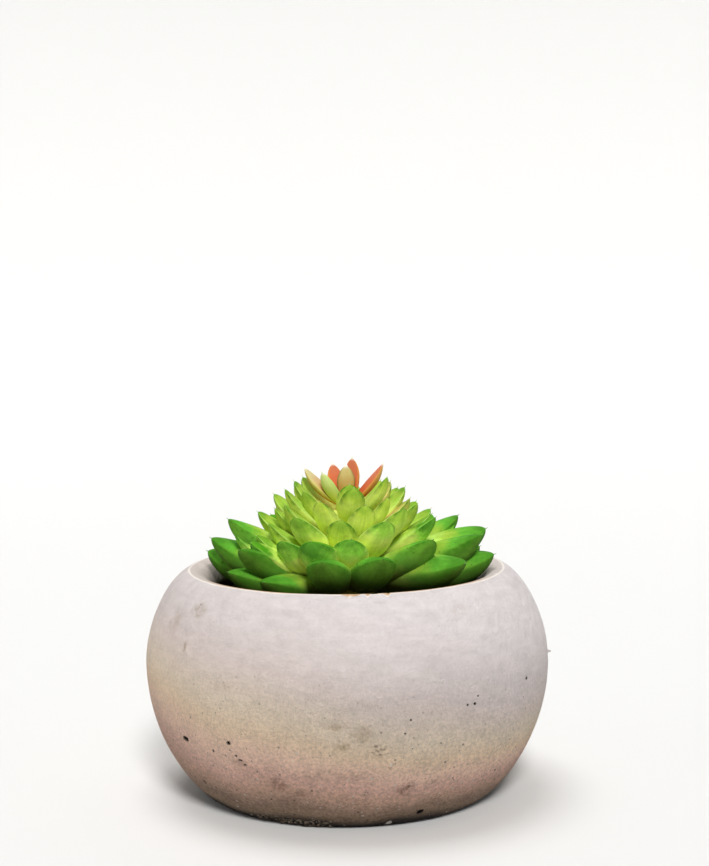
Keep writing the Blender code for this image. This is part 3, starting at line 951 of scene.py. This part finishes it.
def bowl_shape(pits):
    """The turned bowl, with its outer faces cut finer round pits, rough patch, chips and painted
    highlights.
    """
    points, faces = loft(turned(bowl_outline(), BOWL_SEGMENTS))
    shape = bmesh.new()
    verts = [shape.verts.new(point) for point in points]
    for face in faces:
        shape.faces.new([verts[i] for i in face])
    bmesh.ops.recalc_face_normals(shape, faces=shape.faces)
    fine_spots = [*pits, ROUGH, *CHIPS_AND_HIGHLIGHTS]
    near = set()
    for face in shape.faces:
        middle = face.calc_center_median()
        if middle.xy.length > OUTER_LEAST:
            if any(pit_share(middle, fault, PIT_MARGIN) < 1.0 for fault in fine_spots):
                near.update(face.edges)
    bmesh.ops.subdivide_edges(shape, edges=list(near), cuts=PIT_CUTS, use_grid_fill=True)
    shape.normal_update()
    return shape


def make_bowl(finish):
    """The bowl with its nicks, pits and crumbled foot, and with layers that paint stains, chips and
    crumbs, painted shade in pits and hollows, and painted highlights.
    """
    pits = all_pits()
    shape = bowl_shape(pits)
    for vert in shape.verts:
        vert.co.z -= nick(vert.co)
    # Layers of painted shade in pits and hollows, of stains, of chips and painted highlights, and of
    # crumbled grains.
    layers = [shape.verts.layers.float.new(name) for name in ("pit", "stain", "chip_and_highlight", "crumb")]
    pit_shade_layer, stain_layer, chip_and_highlight_layer, crumb_layer = layers
    for vert in shape.verts:
        outward = Vector((vert.co.x, vert.co.y, 0.0))
        if vert.normal.dot(outward) <= 0.0 or vert.co.z <= 0.0:
            continue
        move, dark, crumb = dent(vert.co, pits)
        vert[pit_shade_layer] = dark
        vert[crumb_layer] = crumb
        vert[stain_layer] = painted(vert.co, STAINS, 0.3)
        # Pale chips, and painted highlights on bumps.
        vert[chip_and_highlight_layer] = painted(vert.co, CHIPS_AND_HIGHLIGHTS, 0.8)
        vert.co += vert.normal * move
        vert.co.z = max(0.0, vert.co.z)
    mesh = bpy.data.meshes.new("bowl")
    shape.to_mesh(mesh)
    shape.free()
    place(link_object("bowl", mesh, [finish]), "pot")


# Shape of the soil

SOIL_RINGS = 46
SOIL_SEGMENTS = 150
SOIL_MOUND = 1.2 * MM
# Loose crumbs on it, and their sizes in mm.
CRUMBS = 260
CRUMB_SEED = 8
CRUMB_SIZES = (0.4, 1.3)


def soil_body():
    """Points and faces of soil that fills the hollow, and the radius of its top."""
    wall = [(radius - SOIL_PLAY, height + PLAY) for radius, height in hollow()]
    below = [point for point in wall if point[1] < SOIL_LEVEL]
    edge = below[0][0] - 0.6 * MM
    top = []
    for i in range(SOIL_RINGS):
        top.append((edge * i / SOIL_RINGS, SOIL_LEVEL + SOIL_MOUND * (1.0 - i / SOIL_RINGS)))
    outline = top + [(edge, SOIL_LEVEL)] + below + [(0.0, FLOOR + PLAY)]
    points, faces = loft(turned(outline, SOIL_SEGMENTS))
    for point in points:
        if point.z >= SOIL_LEVEL:
            inside = 1.0 - smooth(edge - 2.0 * MM, edge, point.xy.length)
            point.z += waves(point, (0.9 * MM, 5.0), (0.6 * MM, 1.8)) * inside
    return points, faces, edge


def ball():
    """Corners and faces of a ball of radius 1."""
    shape = bmesh.new()
    bmesh.ops.create_icosphere(shape, subdivisions=2, radius=1.0)
    corners = [vert.co.copy() for vert in shape.verts]
    faces = [tuple(vert.index for vert in face.verts) for face in shape.faces]
    shape.free()
    return corners, faces


def make_soil(finish):
    """Crumbly soil that fills the hollow, with loose crumbs half sunk in its top."""
    points, faces, edge = soil_body()
    corners, ball_faces = ball()
    draw = random.Random(CRUMB_SEED)
    for _ in range(CRUMBS):
        turn = draw.uniform(0.0, 2.0 * math.pi)
        reach = (edge - 2.5 * MM) * math.sqrt(draw.uniform(0.1, 1.0))
        size = draw.uniform(*CRUMB_SIZES) * MM
        middle = Vector((reach * math.cos(turn), reach * math.sin(turn), SOIL_LEVEL + 0.4 * MM))
        seed = Vector((draw.uniform(0.0, 50.0), 0.0, 0.0))
        start = len(points)
        for corner in corners:
            knob = 1.0 + 0.35 * noise.noise(corner * 1.4 + seed)
            points.append(middle + corner * size * knob)
        faces.extend(tuple(start + i for i in face) for face in ball_faces)
    place(make_object("soil_fill", points, faces, [finish]), "soil")


# Shapes of the leaves


def tip_share(share):
    """0 as far as a leaf's widest place, and 1 at its tip."""
    return max(0.0, (share - WIDEST_AT) / (1.0 - WIDEST_AT))


def leaf_outline(share, tip_form):
    """A leaf's width at a share of its length, as a share of its full width."""
    power, roundness = tip_form
    if share < WIDEST_AT:
        return 1.0 - (1.0 - ROOT_SHARE) * (1.0 - share / WIDEST_AT) ** 2
    return (1.0 - tip_share(share) ** power) ** roundness


def section(share, keen):
    """(across, depth, upper) round a leaf at a share of its length: sharper near its tip."""
    edge = EDGE + EDGE_GAIN * smooth(*EDGE_CHANGE, share) + KEEN_GAIN * keen
    crown = CROWN - CROWN_LOSS * smooth(*CROWN_CHANGE, share) - KEEN_LOSS * keen
    ring = []
    for i in range(LOWER_POINTS + 1):
        x = -math.cos(math.pi * i / LOWER_POINTS)
        side = 0.5 if i in (0, LOWER_POINTS) else 0.0
        ring.append((x, -((1.0 - min(1.0, abs(x)) ** ROUNDNESS) ** edge), side))
    for i in range(1, UPPER_POINTS):
        x = math.cos(math.pi * i / UPPER_POINTS)
        ring.append((x, crown * (1.0 - abs(x) ** ROUNDNESS) ** edge, 1.0))
    return ring


def leaf_shares(point):
    """Shares of a leaf's length, closer together where its end rounds off, then its point's."""
    body = [1.0 - (1.0 - step / LEAF_STEPS) ** STEP_POWER for step in range(LEAF_STEPS)]
    return body + [1.0 + point * step / POINT_STEPS for step in range(POINT_STEPS + 1)]


def leaf_rings(root, tip, width, roll, keen, draw, tip_form=GREEN_TIP, point_radius=POINT_RADIUS):
    """Rings of (point, along, across, upper) for a fleshy leaf. A keen one has sharper margins."""
    level = Vector((tip.x - root.x, tip.y - root.y, 0.0))
    outward = level.normalized()
    up = Vector((0.0, 0.0, 1.0))
    side = outward.cross(up)
    chord = (tip - root).length
    first = math.atan2(tip.z - root.z, level.length) - UPTURN
    bend = 0.5 * chord / math.sin(UPTURN)
    thickness = THICKNESS_SHARE + THICKENING * width
    twist = draw.uniform(-1.0, 1.0) * TWIST
    seed = Vector((draw.uniform(0.0, 90.0), 0.0, 0.0))
    point = POINT_LENGTH / chord
    rings = []
    for share in leaf_shares(point):
        angle = first + 2.0 * UPTURN * share
        along = bend * (math.sin(angle) - math.sin(first))
        rise = bend * (math.cos(first) - math.cos(angle))
        middle = root + outward * along + up * rise
        past = max(0.0, share - 1.0) / point
        # The leaf ends in a single point.
        if past > 0.999:
            rings.append([(middle, 1.0 + past, 0.0, 0.5)])
            continue
        face = up * math.cos(angle) - outward * math.sin(angle)
        turn = roll + twist * share
        across = side * math.cos(turn) + face * math.sin(turn)
        normal = face * math.cos(turn) - side * math.sin(turn)
        spike = point_radius * (1.0 - POINT_TAPER * past)
        half = math.hypot(0.5 * width * leaf_outline(min(1.0, share), tip_form), spike)
        thin = 1.0 - THINNING * min(1.0, tip_share(share)) ** 2
        deep = math.hypot(2.0 * half * thickness * thin, 0.5 * spike)
        ring = []
        for x, z, upper in section(share, keen):
            soft = 1.0 + UNEVENNESS * noise.noise(Vector((share * 3.0, x, z)) + seed)
            place_at = middle + across * (half * x * soft) + normal * (deep * z * soft)
            ring.append((place_at, min(1.0, share) + past, abs(x), upper))
        rings.append(ring)
    return rings


def core_radius(height):
    """The core's radius at a height above the rim."""
    share = (height - CORE_LOW) / (CORE_TOP - CORE_LOW)
    return CORE_RADIUS + (CORE_TOP_RADIUS - CORE_RADIUS) * min(1.0, max(0.0, share))


def green_leaf_rings(tip, root_height, roll, keen, draw):
    """A leaf from the core to its tip, both heights above the rim. It widens with its reach."""
    reach = math.hypot(tip.x, tip.y)
    share = ROOT_DEPTH * core_radius(root_height) / reach
    root = Vector((tip.x * share, tip.y * share, root_height))
    lift = Vector((0.0, 0.0, RIM_HEIGHT))
    width = NARROW_WIDTH + WIDTH_GROWTH * reach * reach
    return leaf_rings(root + lift, tip + lift, width, roll, keen, draw)


def spiral_root(tip):
    """A spiral leaf's root height. The further out a leaf reaches, the flatter it lies."""
    reach = math.hypot(tip.x, tip.y)
    rise = math.tan(STEEPEST_PITCH - PITCH_PER_REACH * reach)
    height = tip.z - reach * rise
    for _ in range(ROOT_STEPS):
        height = tip.z - (reach - ROOT_DEPTH * core_radius(height)) * rise
    return min(height, CORE_TOP - ROOT_MARGIN)


def spiral_tip(index):
    """The tip of a leaf of the spiral, counted from the outermost."""
    inward = index / (SPIRAL_LEAVES - 1)
    reach = INNER_REACH + (OUTER_REACH - INNER_REACH) * (1.0 - inward) ** REACH_POWER
    azimuth = FIRST_AZIMUTH + DIVERGENCE * index
    azimuth += CROWDING * math.sin(2.0 * azimuth + CROWDING_PHASE)
    height = TIP_TOP - TIP_SLOPE * reach
    turned_by, further, higher = NUDGES.get(index, (0.0, 0.0, 0.0))
    azimuth += math.radians(turned_by)
    reach += further * MM
    height += higher * MM
    return Vector((reach * math.sin(azimuth) + LEAN, -reach * math.cos(azimuth), height))


def polar(azimuth, reach, height):
    """A point from its azimuth in degrees from the front, its reach and its height."""
    turn = math.radians(azimuth)
    return Vector((reach * math.sin(turn), -reach * math.cos(turn), height))


def join_leaves(name, leaves, finishes):
    """One mesh from leaves of (rings, tier, flush, finish number), with their layers."""
    points, faces, numbers = [], [], []
    layers = {"along": [], "across": [], "upper": [], "tier": [], "flush": [], "vary": []}
    draw = random.Random(JITTER_SEED + len(leaves))
    for rings, tier, flush, number in leaves:
        start = len(points)
        found, made = loft([[entry[0] for entry in ring] for ring in rings])
        points.extend(found)
        faces.extend(tuple(start + i for i in face) for face in made)
        numbers.extend([number] * len(made))
        vary = draw.uniform(-1.0, 1.0)
        for entry in (entry for ring in rings for entry in ring):
            for key, value in zip(layers, (*entry[1:], tier, flush, vary)):
                layers[key].append(value)
    obj = make_object(name, points, faces, finishes, layers)
    obj.data.polygons.foreach_set("material_index", numbers)
    return obj


def make_green_leaves(finish):
    """The lowest leaves, set one by one, and the leaves of the spiral."""
    roll_draw = random.Random(JITTER_SEED)
    shape_draw = random.Random(JITTER_SEED + 1)
    low, high = [], []
    for azimuth, reach, height, root_height, turned_by in LOW_LEAVES:
        roll = math.radians(turned_by) + roll_draw.uniform(-1.0, 1.0) * ROLL_JITTER
        tip = polar(azimuth, reach * MM, height * MM)
        rings = green_leaf_rings(tip, root_height * MM, roll, 0.0, shape_draw)
        low.append((rings, 0.0, 0.0, 0))
    for index in range(SPIRAL_LEAVES):
        if index in BARE:
            continue
        tip = spiral_tip(index)
        roll = math.radians(ROLLED.get(index, 0.0)) + roll_draw.uniform(-1.0, 1.0) * ROLL_JITTER
        tier = LOWEST_TIER + (1.0 - LOWEST_TIER) * index / (SPIRAL_LEAVES - 1)
        rings = green_leaf_rings(tip, spiral_root(tip), roll, tier, shape_draw)
        high.append((rings, tier, float(index in FLUSHED), 0))
    place(join_leaves("low_leaves", low, [finish]), "rosette")
    place(join_leaves("spiral_leaves", high, [finish]), "rosette")


def make_stem(finish):
    """The stem that stands in the soil, and the core on it that the leaves grow from."""
    foot = SOIL_LEVEL - STEM_DEPTH
    neck = (STEM_RADIUS, RIM_HEIGHT + CORE_LOW - CORE_FLARE)
    base = (CORE_RADIUS, RIM_HEIGHT + CORE_LOW)
    top = (CORE_TOP_RADIUS, RIM_HEIGHT + CORE_TOP)
    outline = [(0.0, foot), (STEM_RADIUS, foot), neck, base, top, (0.0, RIM_HEIGHT + CORE_TOP)]
    points, faces = loft(turned(outline, STEM_SEGMENTS))
    layers = {"along": [0.0] * len(points), "tier": [STEM_TIER] * len(points)}
    place(make_object("stem", points, faces, [finish], layers), "rosette")


def make_heart(finishes):
    """The heart's leaves, each with the finish of its kind, and the stub that they grow from."""
    draw = random.Random(JITTER_SEED + 2)
    low = RIM_HEIGHT + CORE_TOP + PLAY
    kinds = list(finishes)
    leaves = []
    for kind, azimuth, reach, height, width, turned_by in HEART_LEAVES:
        root = polar(azimuth, HEART_ROOT_REACH, low + HEART_ROOT_HEIGHT)
        tip = polar(azimuth, reach * MM, RIM_HEIGHT + height * MM)
        turn = math.radians(turned_by)
        rings = leaf_rings(root, tip, width * MM, turn, 1.0, draw, HEART_TIP, HEART_POINT_RADIUS)
        leaves.append((rings, 1.0, 0.0, kinds.index(kind)))
    place(join_leaves("heart_leaves", leaves, list(finishes.values())), "heart")
    high = low + STUB_HEIGHT
    stub = [(0.0, low), (STUB_RADIUS, low), (STUB_TOP_RADIUS, high), (0.0, high)]
    points, faces = loft(turned(stub, STUB_SEGMENTS))
    place(make_object("heart_stub", points, faces, [finishes["blush"]]), "heart")


# Studio

# Lights: name, the place that each comes from, spread in degrees, strength and colour.
LIGHTS = (
    ("key", (0.1, -0.75, 0.66), 14.0, 2.5, (1.0, 0.99, 0.98)),
    ("top", (-0.1, 0.1, 0.85), 30.0, 1.35, (1.0, 1.0, 1.0)),
    ("left", (-0.8, -0.25, 0.2), 60.0, 0.4, (1.0, 0.97, 0.93)),
    ("right", (0.8, -0.2, 0.2), 60.0, 0.2, (0.95, 0.98, 1.0)),
)
SKY_COLOUR = (0.96, 0.97, 1.0, 1.0)
SKY_STRENGTH = 0.17
# The backdrop: its level part, its curve and the top of its wall, to both sides equally wide.
LEVEL_DEPTHS = (-60.0, 1.2)
CURVE_RADIUS = 0.7
CURVE_STEPS = 12
BACKDROP_HEIGHT = 2.2
BACKDROP_SIDE = 60.0
BACKDROP_LOOK = {"Roughness": 0.8, "Base Color": (0.74, 0.74, 0.73, 1.0)}
# The camera: its focal length in pixels of a photo of this height, where it stands, and how
# far it looks down, turns and rolls, in radians.
FOCAL_LENGTH = 1689.5
PHOTO_HEIGHT = 866.0
SENSOR = 36.0
CAMERA_PLACE = (0.0, -0.5, 0.1508)
CAMERA_DOWN = 0.0889
CAMERA_TURN = -0.0058
CAMERA_ROLL = -0.0108
NEAREST = 0.01


def put(name, data, where, turn):
    """An object of the scene at a place, turned by a quaternion."""
    obj = bpy.data.objects.new(name, data)
    bpy.context.scene.collection.objects.link(obj)
    obj.location = where
    obj.rotation_mode = "QUATERNION"
    obj.rotation_quaternion = turn
    return obj


def soft_light(name, where, spread, strength, colour):
    """A broad even light that comes from a place towards the origin."""
    data = bpy.data.lights.new(name, "SUN")
    data.angle = math.radians(spread)
    data.energy = strength
    data.color = colour
    put(name, data, where, (-Vector(where)).to_track_quat("-Z", "Y"))


def sweep():
    """A floor that curves up into a backdrop, (depth, height) from front to back."""
    front, back = LEVEL_DEPTHS
    outline = [(front, 0.0), (back, 0.0)]
    for i in range(1, CURVE_STEPS + 1):
        angle = 0.5 * math.pi * i / CURVE_STEPS
        height = CURVE_RADIUS - CURVE_RADIUS * math.cos(angle)
        outline.append((back + CURVE_RADIUS * math.sin(angle), height))
    outline.append((back + CURVE_RADIUS, BACKDROP_HEIGHT))
    points = [(side * BACKDROP_SIDE, depth, height) for depth, height in outline for side in (-1, 1)]
    faces = [(2 * i, 2 * i + 1, 2 * i + 3, 2 * i + 2) for i in range(len(outline) - 1)]
    mesh = bpy.data.meshes.new("floor")
    mesh.from_pydata(points, [], faces)
    made, _, _ = new_material("floor", BACKDROP_LOOK)
    floor = link_object("floor", mesh, [made])


def make_studio():
    """An even dim sky, four soft lights and a backdrop."""
    world = bpy.data.worlds.new("studio")
    world.use_nodes = True
    back = world.node_tree.nodes["Background"]
    back.inputs["Color"].default_value = SKY_COLOUR
    back.inputs["Strength"].default_value = SKY_STRENGTH
    bpy.context.scene.world = world
    for light in LIGHTS:
        soft_light(*light)
    sweep()


def make_camera():
    """The photograph's view: half a metre off and looking a little down."""
    data = bpy.data.cameras.new("camera")
    data.sensor_width = SENSOR
    data.lens = FOCAL_LENGTH * SENSOR / PHOTO_HEIGHT
    data.clip_start = NEAREST
    tilt = Euler((math.pi / 2.0 - CAMERA_DOWN, 0.0, 0.0)).to_quaternion()
    up = Vector((0.0, 0.0, 1.0))
    turn = Quaternion(up, CAMERA_TURN) @ tilt @ Quaternion(up, CAMERA_ROLL)
    bpy.context.scene.camera = put("camera", data, CAMERA_PLACE, turn)


bpy.context.scene.view_settings.view_transform = "Standard"
make_camera()
make_studio()
make_bowl(concrete())
make_soil(soil())
green = green_leaf()
make_green_leaves(green)
make_stem(green)
make_heart({kind: heart_leaf(kind, *colours) for kind, colours in HEART_COLOURS.items()})
